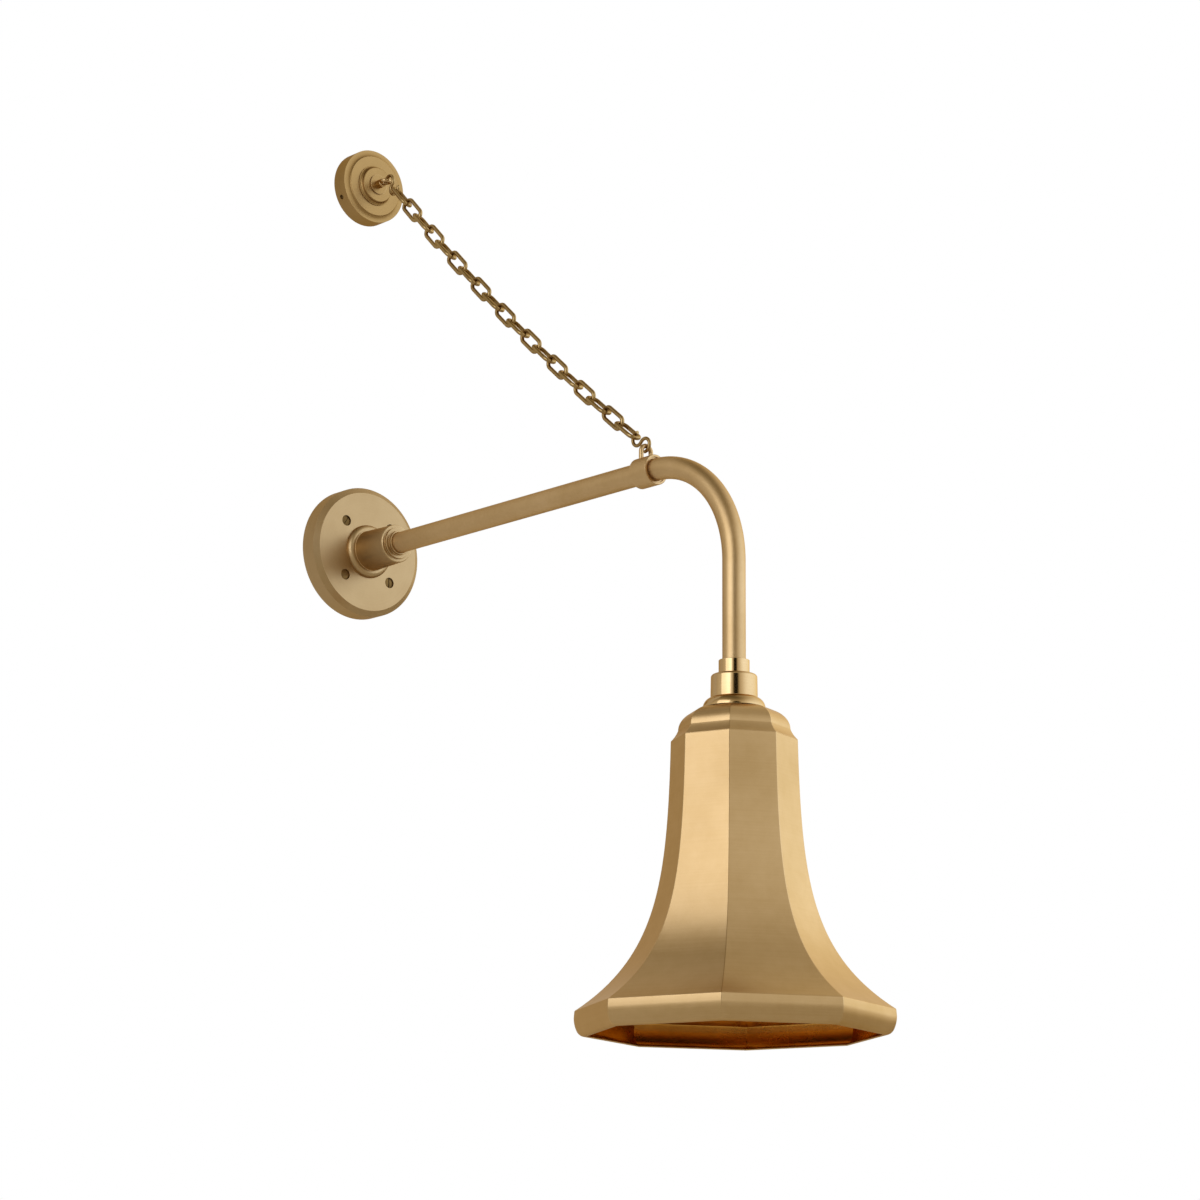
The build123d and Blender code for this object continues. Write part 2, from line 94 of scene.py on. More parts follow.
class Paint:
    # a node tree that is filled one node at a time
    def __init__(self, owner):
        owner.use_nodes = True
        self.owner = owner
        self.tree = owner.node_tree
        self.tree.nodes.clear()

    def add(self, kind, inputs=None, output=0, **settings):
        node = self.tree.nodes.new("ShaderNode" + kind)
        for key, value in settings.items():
            setattr(node, key, value)
        for key, value in (inputs or {}).items():
            if isinstance(value, Wire):
                self.tree.links.new(value.socket, node.inputs[key])
            else:
                node.inputs[key].default_value = value
        return Wire(self, node.outputs[output]) if node.outputs else node

    def noise(self, spot, scale, detail, rough=0.55):
        return self.add("TexNoise", {
            "Vector": spot, "Scale": scale, "Detail": detail, "Roughness": rough})

    def blendColour(self, amount, first, second):
        return self.add("Mix", {0: amount, 6: first, 7: second}, output=2, data_type="RGBA")


# the burnished brass, from which the other metals start
brassLook = {
    "light": (0.660, 0.465, 0.250, 1.0),
    "dark": (0.535, 0.355, 0.165, 1.0),
    "grazing": (0.78, 0.60, 0.40, 1.0),  # what the edge-on faces turn to
    "metallic": 1.0,
    "roughness": 0.40,
    "cloud": 12.0,  # soft patches per metre
    "mottle": 90.0,
    "marks": 0.05,  # how much the tool marks change the gloss
    "bump": 0.018,
}
polishedLook = dict(brassLook, roughness=0.12, marks=0.02, bump=0.006)
# painted shade: the wall plate and boss take a darker copy of the brass, and the upper canopy a
# darker one still, so they read less lit than the rest
shadedPlateLook = dict(brassLook, light=(0.50, 0.352, 0.185, 1.0), dark=(0.42, 0.282, 0.138, 1.0))
shadeLook = dict(brassLook, roughness=0.33, marks=0.10, bump=0.03, cloud=9.0)
shadedCanopyLook = dict(shadedPlateLook, light=(0.42, 0.265, 0.105, 1.0), dark=(0.34, 0.205, 0.075, 1.0))
chainLook = dict(brassLook, light=(0.50, 0.345, 0.155, 1.0), dark=(0.31, 0.200, 0.080, 1.0),
                 roughness=0.28, marks=0.10, bump=0.06)
# edges: a lighter, glossier brass for the bevels, partly wear and partly a painted highlight along
# the creases
edgeLook = dict(brassLook, light=(0.72, 0.535, 0.31, 1.0), dark=(0.60, 0.42, 0.21, 1.0),
                roughness=0.36, bump=0.0)
# painted reflection: the shade's inside takes a brighter, orange copy of the brass that stands in
# for the light bouncing round within it
insideReflectionLook = dict(brassLook, light=(0.86, 0.46, 0.105, 1.0), dark=(0.50, 0.245, 0.045, 1.0),
                  grazing=(0.55, 0.30, 0.12, 1.0), roughness=0.28, bump=0.03)
# painted shade: the screw heads take a dark brown brass that stands in for the shadow of their
# recesses
shadedScrewLook = dict(chainLook, light=(0.24, 0.145, 0.052, 1.0), dark=(0.10, 0.058, 0.020, 1.0),
                 grazing=(0.3, 0.2, 0.1, 1.0), roughness=0.42)
yellowLook = dict(brassLook, light=(0.74, 0.56, 0.25, 1.0), roughness=0.24)
zincLook = dict(brassLook, light=(0.56, 0.57, 0.58, 1.0), dark=(0.40, 0.41, 0.43, 1.0),
                grazing=(0.7, 0.7, 0.7, 1.0), roughness=0.33)
greenLook = dict(brassLook, light=(0.06, 0.26, 0.10, 1.0), dark=(0.03, 0.15, 0.06, 1.0),
                 grazing=(0.4, 0.5, 0.4, 1.0), metallic=0.7, roughness=0.3)
capLook = dict(brassLook, light=(0.70, 0.69, 0.66, 1.0), dark=(0.55, 0.54, 0.52, 1.0),
               grazing=(0.8, 0.8, 0.8, 1.0), roughness=0.36)

# tool marks per metre: turned rings, their slow drift, rubbed round the shade, and even
grainScale = {"turned": 900.0, "drift": 3.0, "rubbed": 9.0, "rubbedHeight": 700.0, "even": 420.0}
# how far each pattern moves the colour, the gloss and the surface
toneMix = {"cloud": 1.9, "mottle": 0.7, "lines": 0.5}
glossMix = {"mottle": 0.08, "tone": 0.05, "least": 0.06, "most": 0.9}
reliefMix = {"mottle": 0.5, "distance": 0.00006}


def metalFinish(name, look, grain):
    # "drop", "arm" and "canopy" are turned rings, "shade" is rubbed round, "plain" is even
    paint = Paint(bpy.data.materials.new(name))
    spot = paint.add("TexCoord", output="Object")
    axes = paint.add("SeparateXYZ", {"Vector": spot})
    x, y, z = axes, axes.out("Y"), axes.out("Z")
    turned, drift = grainScale["turned"], grainScale["drift"]
    if grain in ("arm", "canopy"):
        height = canopyZ * mm if grain == "canopy" else 0.0
        reach = (x * x + (z - height) * (z - height)).root()
        ways = {"X": reach * turned, "Y": y * turned, "Z": x * drift}
    elif grain == "drop":
        reach = (x * x + (y - dropY * mm) * (y - dropY * mm)).root()
        ways = {"X": reach * turned, "Y": z * turned, "Z": x * drift}
    elif grain == "shade":
        rubbed = grainScale["rubbed"]
        ways = {"X": x * rubbed, "Y": y * rubbed, "Z": z * grainScale["rubbedHeight"]}
    else:
        even = grainScale["even"]
        ways = {"X": x * even, "Y": y * even, "Z": z * even}
    lines = paint.noise(paint.add("CombineXYZ", ways), 1.0, detail=2.0)
    cloud = paint.noise(spot, look["cloud"], detail=4.0)
    mottle = paint.noise(spot, look["mottle"], detail=5.0, rough=0.65)
    tone = (0.5 + (cloud - 0.5) * toneMix["cloud"] + (mottle - 0.5) * toneMix["mottle"]
            + (lines - 0.5) * toneMix["lines"]).between()
    gloss = (look["roughness"] + (mottle - 0.5) * glossMix["mottle"] + (lines - 0.5) * look["marks"]
             + (0.5 - tone) * glossMix["tone"]).between(glossMix["least"], glossMix["most"])
    shader = {"Base Color": paint.blendColour(tone, look["dark"], look["light"]),
              "Metallic": look["metallic"], "Roughness": gloss, "Specular Tint": look["grazing"]}
    if look["bump"]:
        shader["Normal"] = paint.add("Bump", {
            "Height": lines + mottle * reliefMix["mottle"], "Strength": look["bump"],
            "Distance": reliefMix["distance"]})
    paint.add("OutputMaterial", {"Surface": paint.add("BsdfPrincipled", shader)})
    return paint.owner


# the edge copy carries wear and a painted highlight
brassEdgeWearAndHighlight = metalFinish("brassEdgeWearAndHighlight", edgeLook, "plain")
brassInsideReflection = metalFinish("brassInsideReflection", insideReflectionLook, "shade")
brass = {}
for grain, look in (("arm", shadedPlateLook), ("canopy", shadedCanopyLook), ("drop", polishedLook),
                    ("shade", shadeLook), ("plain", brassLook)):
    brass[grain] = [metalFinish("brass_" + grain, look, grain), brassEdgeWearAndHighlight, brassInsideReflection]
# lighter chain edges: wear and a painted highlight on the links
chainEdgeWearAndHighlight = metalFinish("chainEdgeWearAndHighlight", dict(chainLook, light=(0.60, 0.42, 0.2, 1.0)), "plain")
brassChain = [metalFinish("brassChain", chainLook, "plain"), chainEdgeWearAndHighlight, chainEdgeWearAndHighlight]
# lighter screw edges: wear and a painted highlight on the slot and head edges
screwEdgeWearAndHighlight = metalFinish("screwEdgeWearAndHighlight", dict(chainLook, light=(0.50, 0.33, 0.15, 1.0)), "plain")
# the dark screw brass is painted recess shade
shadedScrewBrass = [metalFinish("shadedScrewBrass", shadedScrewLook, "plain"), screwEdgeWearAndHighlight, screwEdgeWearAndHighlight]
yellowBrass = [metalFinish("yellowBrass", yellowLook, "plain")]
zinc = [metalFinish("zincPlate", zincLook, "plain")]
greenZinc = [metalFinish("greenZinc", greenLook, "plain")]
capAluminium = [metalFinish("capAluminium", capLook, "drop")]

# glaze, wire covers and the moulded connectors
porcelainLook = {
    "light": (0.86, 0.84, 0.78, 1.0), "dark": (0.76, 0.73, 0.66, 1.0), "roughness": 0.22,
    "coat": 0.6, "cloud": 60.0, "speck": 900.0, "bump": 0.15,
}
blackLook = {
    "light": (0.035, 0.035, 0.037, 1.0), "dark": (0.02, 0.02, 0.02, 1.0), "roughness": 0.42,
    "coat": 0.1, "cloud": 200.0, "speck": 2500.0, "bump": 0.2,
}
whiteLook = dict(blackLook, light=(0.78, 0.77, 0.73, 1.0), dark=(0.66, 0.65, 0.6, 1.0))
orangeLook = {
    "light": (0.62, 0.17, 0.02, 1.0), "dark": (0.50, 0.12, 0.015, 1.0), "roughness": 0.5,
    "coat": 0.05, "cloud": 300.0, "speck": 3000.0, "bump": 0.3,
}
coatMix = {"cloud": 1.4, "speck": 0.6, "gloss": 0.12, "relief": 0.4, "distance": 0.0002}


def coatedFinish(name, look):
    paint = Paint(bpy.data.materials.new(name))
    spot = paint.add("TexCoord", output="Object")
    cloud = paint.noise(spot, look["cloud"], detail=3.0)
    speck = paint.noise(spot, look["speck"], detail=4.0, rough=0.7)
    tone = (0.5 + (cloud - 0.5) * coatMix["cloud"] + (speck - 0.5) * coatMix["speck"]).between()
    bump = paint.add("Bump", {"Height": cloud + speck * coatMix["relief"],
                              "Strength": look["bump"], "Distance": coatMix["distance"]})
    shader = paint.add("BsdfPrincipled", {
        "Base Color": paint.blendColour(tone, look["dark"], look["light"]),
        "Roughness": (look["roughness"] + (speck - 0.5) * coatMix["gloss"]).between(0.05, 0.95),
        "Coat Weight": look["coat"], "Coat Roughness": 0.12, "Normal": bump})
    paint.add("OutputMaterial", {"Surface": shader})
    return paint.owner


porcelain = [coatedFinish("porcelain", porcelainLook)]
blackCover = [coatedFinish("blackCover", blackLook)]
whiteCover = [coatedFinish("whiteCover", whiteLook)]
orangeCap = [coatedFinish("orangeCap", orangeLook)]
print("finishes made")


def newPiece(name, bm):
    bmesh.ops.remove_doubles(bm, verts=bm.verts[:], dist=mergeGap)
    bmesh.ops.dissolve_degenerate(bm, edges=bm.edges[:], dist=1e-7)
    mesh = bpy.data.meshes.new(name)
    bm.to_mesh(mesh)
    bm.free()
    piece = bpy.data.objects.new(name, mesh)
    bpy.context.scene.collection.objects.link(piece)
    return piece


def carve(piece, tool, operation="DIFFERENCE"):
    cutter = newPiece("cutter", tool)
    step = piece.modifiers.new("carve", "BOOLEAN")
    step.object = cutter
    step.operation = operation
    step.solver = "EXACT"
    bpy.context.view_layer.update()
    graph = bpy.context.evaluated_depsgraph_get()
    carved = bpy.data.meshes.new_from_object(piece.evaluated_get(graph))
    piece.modifiers.clear()
    old = piece.data
    piece.data = carved
    carved.name = piece.name
    bpy.data.meshes.remove(old)
    bpy.data.objects.remove(cutter)


def facingTurn(direction):
    # turns +Z to the given direction
    return Vector(direction).to_track_quat("Z", "Y").to_matrix().to_4x4()


def drill(centre, along, radius, depth, segments=40):
    # a round cutter, its middle at the given point
    tool = bmesh.new()
    bmesh.ops.create_cone(tool, cap_ends=True, segments=segments, radius1=radius * mm,
                          radius2=radius * mm, depth=depth * mm,
                          matrix=Matrix.Translation(Vector(centre) * mm) @ facingTurn(along))
    return tool


def dress(piece, finish, body, nodes, edge=0.25, angle=30.0, segments=2, wearAndHighlight=True):
    # finish, rounded edges and shading; a rounded edge takes the brighter edge material, which is
    # wear and also a painted highlight along the crease
    piece.data.materials.clear()
    for material in finish:
        piece.data.materials.append(material)
    for side in piece.data.polygons:  # faces square to an axis stay flat, the rest shade smooth
        side.use_smooth = max(abs(c) for c in side.normal) < 0.99999
    if edge:
        rounding = piece.modifiers.new("edge", "BEVEL")
        rounding.width = edge * mm
        rounding.segments = segments
        rounding.limit_method = "ANGLE"
        rounding.angle_limit = radians(angle)
        rounding.material = 1 if wearAndHighlight and len(finish) > 1 else -1
        rounding.use_clamp_overlap = True
        shading = piece.modifiers.new("shading", "WEIGHTED_NORMAL")
        shading.keep_sharp = True
        shading.weight = 60
    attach(piece, body)
    if nodes:
        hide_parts(*nodes)
    return piece


def turnedShape(profile, axis, height=0.0, steps=96, closed=True):
    # profile gives radius and place along the axis; "arm" runs out of the wall, "drop" is upright
    bm = bmesh.new()
    if axis == "arm":
        spots = [(r, -a, height) for r, a in profile]
        centre, direction = (0, 0, height * mm), (0, 1, 0)
    else:
        spots = [(r, dropY, a) for r, a in profile]
        centre, direction = (0, dropY * mm, 0), (0, 0, 1)
    corners = [bm.verts.new(Vector(s) * mm) for s in spots]
    edges = [bm.edges.new(pair) for pair in zip(corners, corners[1:])]
    if closed:
        edges.append(bm.edges.new((corners[-1], corners[0])))
    bmesh.ops.spin(bm, geom=corners + edges, cent=centre, axis=direction, dvec=(0, 0, 0),
                   angle=2 * pi, steps=steps, use_merge=True)
    bmesh.ops.remove_doubles(bm, verts=bm.verts[:], dist=mergeGap)
    bmesh.ops.recalc_face_normals(bm, faces=bm.faces[:])
    return bm


def quarter(centre, across, along, start=0.0, end=90.0, steps=8):
    # points of an elliptical arc from the first angle to the last
    turns = [radians(start + (end - start) * k / steps) for k in range(steps + 1)]
    return [(centre[0] + across * cos(t), centre[1] + along * sin(t)) for t in turns]


def shallowArc(start, end, bulge, steps):
    # points from start to end on an arc that stands out sideways by bulge
    a, b = Vector(start), Vector(end)
    chord = b - a
    side = Vector((-chord.y, chord.x)).normalized()
    bend = chord.length_squared / (8 * bulge) + bulge / 2
    centre = (a + b) / 2 + side * (bulge - bend)
    sweep = (a - centre).angle_signed(b - centre)
    return [tuple(centre + Matrix.Rotation(-sweep * k / steps, 2) @ (a - centre))
            for k in range(steps + 1)]


def pushLoop(bm, loop, move):
    # extrudes an edge loop and moves what is new
    made = bmesh.ops.extrude_edge_only(bm, edges=loop)["geom"]
    corners = [g for g in made if isinstance(g, bmesh.types.BMVert)]
    fresh = set(corners)
    bmesh.ops.translate(bm, verts=corners, vec=Vector(move) * mm)
    return corners, [e for e in bm.edges if e.verts[0] in fresh and e.verts[1] in fresh]


def spinLoop(bm, loop, centre, axis, angle, steps):
    corners = list({v for e in loop for v in e.verts})
    made = bmesh.ops.spin(bm, geom=corners + loop, cent=Vector(centre) * mm, axis=axis,
                          dvec=(0, 0, 0), angle=radians(angle), steps=steps)["geom_last"]
    return [g for g in made if isinstance(g, bmesh.types.BMEdge)]


def wireRing(bm, radius, centre, facing, segments):
    # the round section of a bar, ready to be pushed or spun
    place = Matrix.Translation(Vector(centre) * mm) @ facingTurn(facing)
    made = bmesh.ops.create_circle(bm, segments=segments, radius=radius * mm, matrix=place)
    return [e for e in bm.edges if all(v in made["verts"] for v in e.verts)]


def closeEnds(bm):
    bmesh.ops.remove_doubles(bm, verts=bm.verts[:], dist=mergeGap)
    rims = [e for e in bm.edges if e.is_boundary]
    if rims:
        bmesh.ops.holes_fill(bm, edges=rims, sides=0)
    bmesh.ops.recalc_face_normals(bm, faces=bm.faces[:])
    return bm


def tidyNode(node, name, finish, edge=0.15):
    # a hidden piece keeps its solid's mesh, merged, with its edges broken
    bm = bmesh.new()
    bm.from_mesh(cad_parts[node].data)
    bmesh.ops.remove_doubles(bm, verts=bm.verts[:], dist=1e-5)
    bmesh.ops.dissolve_limit(bm, angle_limit=radians(0.6), verts=bm.verts[:], edges=bm.edges[:])
    return dress(newPiece(name, bm), finish, fixedBody, [node], edge, 35.0, 1)


# lower wall plate: a spun cup with four recesses for its screws
plateShape = {
    "radius": 60.325, "edgeDepth": 15.6, "faceRadius": 55.2, "depth": 19.05, "bore": 9.75,
    "sheet": 2.0, "hollowEdge": 1.0, "hollowFace": 0.9,  # how far the hollow's corner sits in
    "screwOffset": 25.4, "recessRadius": 4.95, "recessDepth": 2.15, "recessCut": 6.0,
    "cupRadius": 6.25, "cupRear": 15.4, "cupSink": 0.5, "holeRadius": 2.3, "holeCut": 12.0,
}
plateFront = plateShape["depth"]
plateBack = plateFront - plateShape["sheet"]
plateInner = plateShape["radius"] - plateShape["sheet"]
wallPlate = newPiece("wallPlate", turnedShape([
    (plateShape["bore"], plateFront), (plateShape["faceRadius"], plateFront),
    (plateShape["radius"], plateShape["edgeDepth"]), (plateShape["radius"], 0), (plateInner, 0),
    (plateInner, plateShape["edgeDepth"] - plateShape["hollowEdge"]),
    (plateShape["faceRadius"] - plateShape["hollowFace"], plateBack),
    (plateShape["bore"], plateBack)], "arm", steps=144))
offset = plateShape["screwOffset"]
plateSpots = [(sx * offset, sz * offset) for sx in (-1, 1) for sz in (-1, 1)]
recessFloor = plateFront - plateShape["recessDepth"]
cupTall = plateFront - plateShape["cupSink"] - plateShape["cupRear"]
above = plateShape["recessCut"] / 2
for x, z in plateSpots:
    carve(wallPlate, drill((x, -(plateShape["cupRear"] + cupTall / 2), z), (0, 1, 0),
                           plateShape["cupRadius"], cupTall), "UNION")
for x, z in plateSpots:
    carve(wallPlate, drill((x, -(recessFloor + above), z), (0, 1, 0),
                           plateShape["recessRadius"], plateShape["recessCut"]))
    carve(wallPlate, drill((x, -recessFloor + above, z), (0, 1, 0),
                           plateShape["holeRadius"], plateShape["holeCut"], 24))
dress(wallPlate, brass["arm"], fixedBody, ["wall_plate"], edge=0.45, angle=26.0, segments=3)

# one slotted screw, copied to the four recesses
screwShape = {
    "foot": 0.3, "shank": 2.0, "head": 4.7, "dome": 0.35, "flatShare": 0.66, "flatDrop": 0.1,
    "top": 18.2, "slotWidth": 1.15, "slotDepth": 0.9, "slotReach": 2.4,
    "slotTurns": (20, 55, 90, 125),  # no two slots stand alike
}
screwModel = newPiece("screwModel", turnedShape([
    (0.0, screwShape["foot"]), (screwShape["shank"], screwShape["foot"]),
    (screwShape["shank"], recessFloor), (screwShape["head"], recessFloor),
    (screwShape["head"], screwShape["top"] - screwShape["dome"]),
    (screwShape["head"] * screwShape["flatShare"], screwShape["top"] - screwShape["flatDrop"]),
    (0.0, screwShape["top"])], "arm", steps=48, closed=False))
slotTool = bmesh.new()
slotSize = Matrix.Diagonal((screwShape["slotReach"] * screwShape["head"] * mm,
                            2 * screwShape["slotDepth"] * mm, screwShape["slotWidth"] * mm, 1))
bmesh.ops.create_cube(slotTool, size=1.0,
                      matrix=Matrix.Translation((0, -screwShape["top"] * mm, 0)) @ slotSize)
carve(screwModel, slotTool)
screws = bmesh.new()
for (x, z), turn in zip(plateSpots, screwShape["slotTurns"]):
    first = len(screws.verts)
    screws.from_mesh(screwModel.data)
    screws.verts.ensure_lookup_table()
    place = Matrix.Translation((x * mm, 0, z * mm)) @ Matrix.Rotation(radians(-turn), 4, "Y")
    bmesh.ops.transform(screws, matrix=place, verts=screws.verts[first:])
bpy.data.objects.remove(screwModel)
dress(newPiece("plateScrews", screws), shadedScrewBrass, fixedBody, ["plate_screws"], edge=0.18)
print("wall plate and screws")

# turned boss: a bead at the plate, a long cone and two small steps
bossShape = {
    "beadRadius": 24.7, "neckRadius": 20.4, "beadDepth": 5.25, "rearRadius": 18.6,
    "frontRadius": 17.5, "shoulder": 62.2, "chamferIn": 0.6, "chamferBack": 1.2,
    "tiers": ((14.3, 64.4), (11.1, 67.4)),
}
shoulder = bossShape["shoulder"]
beadCurve = quarter((bossShape["neckRadius"], plateFront),
                    bossShape["beadRadius"] - bossShape["neckRadius"], bossShape["beadDepth"],
                    steps=10)
(firstTier, firstFront), (lastTier, lastFront) = bossShape["tiers"]
armBoss = newPiece("armBoss", turnedShape([(tubeBore, plateFront)] + beadCurve + [
    (bossShape["rearRadius"], plateFront + bossShape["beadDepth"]),
    (bossShape["frontRadius"], shoulder - bossShape["chamferBack"]),
    (bossShape["frontRadius"] - bossShape["chamferIn"], shoulder), (firstTier, shoulder),
    (firstTier, firstFront), (lastTier, firstFront), (lastTier, lastFront),
    (tubeBore, lastFront)], "arm"))
dress(armBoss, brass["arm"], fixedBody, ["arm_boss"], edge=0.35)

armShape = {
    "radius": 9.525, "wall": 1.6, "rear": 10.5, "bendStart": 412.75, "bendRadius": 95.25,
    "foot": -184.7, "sides": 64, "armRows": 8, "bendRows": 48, "dropRows": 3,
}
tube = bmesh.new()
loop = wireRing(tube, armShape["radius"], (0, -armShape["rear"], 0), (0, 1, 0), armShape["sides"])
armStep = (armShape["bendStart"] - armShape["rear"]) / armShape["armRows"]
for stretch in range(armShape["armRows"]):
    loop = pushLoop(tube, loop, (0, -armStep, 0))[1]
loop = spinLoop(tube, loop, (0, -armShape["bendStart"], -armShape["bendRadius"]), (1, 0, 0), 90,
                armShape["bendRows"])
dropStep = (armShape["foot"] + armShape["bendRadius"]) / armShape["dropRows"]
for stretch in range(armShape["dropRows"]):
    loop = pushLoop(tube, loop, (0, 0, dropStep))[1]
bmesh.ops.remove_doubles(tube, verts=tube.verts[:], dist=mergeGap)
bmesh.ops.recalc_face_normals(tube, faces=tube.faces[:])
armTube = newPiece("armTube", tube)
wall = armTube.modifiers.new("wall", "SOLIDIFY")
wall.thickness = armShape["wall"] * mm
wall.offset = -1
dress(armTube, brass["plain"], fixedBody, ["arm_tube"], edge=0.3, angle=50.0)
print("boss and arm")

# collar at the start of the bend, and the wire eye in its top
collarShape = {
    "rear": 393.4, "length": 20.6, "radius": 13.0, "chamfer": 0.5, "mouth": 11.0,
    "mouthDepth": 1.2, "grubSide": 12.0, "grubDepth": 408.0, "grubHole": 1.65, "grubCut": 6.0,
}
rear, cut = collarShape["rear"], collarShape["chamfer"]
front = rear + collarShape["length"]
chainCollar = newPiece("chainCollar", turnedShape([
    (tubeBore, rear), (collarShape["radius"] - cut, rear), (collarShape["radius"], rear + cut),
    (collarShape["radius"], front - cut), (collarShape["radius"] - cut, front),
    (collarShape["mouth"], front), (collarShape["mouth"], front - collarShape["mouthDepth"]),
    (tubeBore, front - collarShape["mouthDepth"])], "arm", steps=80))
carve(chainCollar, drill((collarShape["grubSide"], -collarShape["grubDepth"], 0), (1, 0, 0),
                         collarShape["grubHole"], collarShape["grubCut"], 24))
dress(chainCollar, brass["plain"], fixedBody, ["chain_collar"], edge=0.4, wearAndHighlight=False)

eyeShape = {"wire": 2.0, "halfWidth": 5.4, "depth": 400.9, "top": 23.0, "foot": 9.6}
arcZ = eyeShape["top"] - eyeShape["halfWidth"]
eye = bmesh.new()
loop = wireRing(eye, eyeShape["wire"], (eyeShape["halfWidth"], -eyeShape["depth"],
                                        eyeShape["foot"]), (0, 0, 1), 24)
loop = pushLoop(eye, loop, (0, 0, arcZ - eyeShape["foot"]))[1]
loop = spinLoop(eye, loop, (0, -eyeShape["depth"], arcZ), (0, -1, 0), 180, 24)
loop = pushLoop(eye, loop, (0, 0, eyeShape["foot"] - arcZ))[1]
dress(newPiece("collarEye", closeEnds(eye)), brass["plain"], fixedBody, ["collar_eye"],
      edge=0.2, angle=60.0)
tidyNode("collar_set_screw", "collarSetScrew", shadedScrewBrass)
print("collar and eye")

# coupling, polished ring and bulged flange under the arm
stackShape = {
    "thread": 5.0, "couplingTop": -177.8, "couplingRadius": 12.55, "couplingFoot": -189.7,
    "ringRadius": 18.8, "ringFootRadius": 19.1, "ringRound": 2.4, "ringFoot": -209.0,
    "ringWall": 4.5, "ringRoof": 7.0, "flangeNeck": 19.4, "flangeRadius": 25.3,
    "flangeBulge": 1.3, "flangeLip": -216.3, "flangeFoot": -217.5,
}
thread, couplingFoot = stackShape["thread"], stackShape["couplingFoot"]
coupling = newPiece("rodCoupling", turnedShape([
    (tubeBore, stackShape["couplingTop"]),
    (stackShape["couplingRadius"], stackShape["couplingTop"]),
    (stackShape["couplingRadius"], couplingFoot), (thread, couplingFoot),
    (thread, armShape["foot"]), (tubeBore, armShape["foot"])], "drop", steps=80))
dress(coupling, brass["drop"], fixedBody, ["rod_coupling"], edge=0.5, segments=3)

ringRound, ringFoot = stackShape["ringRound"], stackShape["ringFoot"]
ringInner = stackShape["ringFootRadius"] - stackShape["ringWall"]
ringRoof = couplingFoot - stackShape["ringRoof"]
roundTop = quarter((stackShape["ringRadius"] - ringRound, couplingFoot - ringRound), ringRound,
                   ringRound, 90, 0)
ring = newPiece("shadeRing", turnedShape([(thread, couplingFoot)] + roundTop + [
    (stackShape["ringFootRadius"], ringFoot), (ringInner, ringFoot), (ringInner, ringRoof),
    (thread, ringRoof)], "drop", steps=96))
dress(ring, brass["drop"], fixedBody, ["shade_ring"], edge=0.3)

flangeCurve = shallowArc((stackShape["flangeNeck"], ringFoot),
                         (stackShape["flangeRadius"], stackShape["flangeLip"]),
                         stackShape["flangeBulge"], 10)
flange = newPiece("shadeFlange", turnedShape([(thread, ringFoot)] + flangeCurve + [
    (stackShape["flangeRadius"], stackShape["flangeFoot"]),
    (thread, stackShape["flangeFoot"])], "drop", steps=112))
dress(flange, brass["drop"], fixedBody, ["shade_flange"], edge=0.25)
print("coupling, ring and flange")

# eight-sided shade, all radii to the corners
shadeShape = {
    "sides": 8, "turn": 3.04, "skin": 1.4, "ridge": 0.5, "crownRidge": 0.35,
    "crownHole": 6.0, "crownTop": -217.5, "crownFlat": 21.5, "crownRadius": 45.3,
    "crownSide": -235.0, "coveDip": 0.6, "neckZ": -243.5, "neckRadius": 51.2,
    "flareLength": 50.0, "flareRows": 44, "flareBias": 1.25,  # rows crowd towards the rim
    "creaseZ": -459.4, "creaseRadius": 127.3, "rimRadius": 127.8, "bellyZ": -465.0,
    "rimTurnRadius": 125.4, "rimTurnZ": -475.5, "footZ": -480.0, "rimRows": 5, "lipRows": 7,
}


def octagonShell(rings):
    # one eight-sided loop is pushed down from ring to ring and widened as it goes
    bm = bmesh.new()
    radius, z = rings[0]
    turn = Matrix.Rotation(radians(-shadeShape["turn"]), 4, "Z")
    bmesh.ops.create_circle(bm, segments=shadeShape["sides"], radius=radius * mm,
                            matrix=Matrix.Translation((0, 0, z * mm)) @ turn)
    loop = bm.edges[:]
    for nextRadius, nextZ in rings[1:]:
        corners, loop = pushLoop(bm, loop, (0, 0, nextZ - z))
        grow = nextRadius / radius
        bmesh.ops.scale(bm, vec=(grow, grow, 1), verts=corners)
        radius, z = nextRadius, nextZ
    bmesh.ops.translate(bm, vec=(0, dropY * mm, 0), verts=bm.verts[:])
    bmesh.ops.recalc_face_normals(bm, faces=bm.faces[:])
    return bm


def giveSkin(piece):
    skin = piece.modifiers.new("skin", "SOLIDIFY")
    skin.thickness = shadeShape["skin"] * mm
    skin.offset = -1
    skin.use_even_offset = True
    # inner faces take the orange inside copy, a painted reflection; the cut rims take the edge
    # copy, wear and a painted highlight
    skin.material_offset = 2
    skin.material_offset_rim = 1


crownTop, crownSide = shadeShape["crownTop"], shadeShape["crownSide"]
crownRadius, neckRadius = shadeShape["crownRadius"], shadeShape["neckRadius"]
neckZ = shadeShape["neckZ"]
dome = quarter((shadeShape["crownFlat"], crownSide), crownRadius - shadeShape["crownFlat"],
               crownTop - crownSide, 90, 0, 18)
cove = shallowArc((crownRadius, crownSide), (neckRadius, neckZ), -shadeShape["coveDip"], 6)[1:]
crown = newPiece("shadeCrown", octagonShell([(shadeShape["crownHole"], crownTop)] + dome + cove))
giveSkin(crown)
dress(crown, brass["shade"], fixedBody, ["shade_crown"], edge=shadeShape["crownRidge"], angle=17.0,
      wearAndHighlight=False)

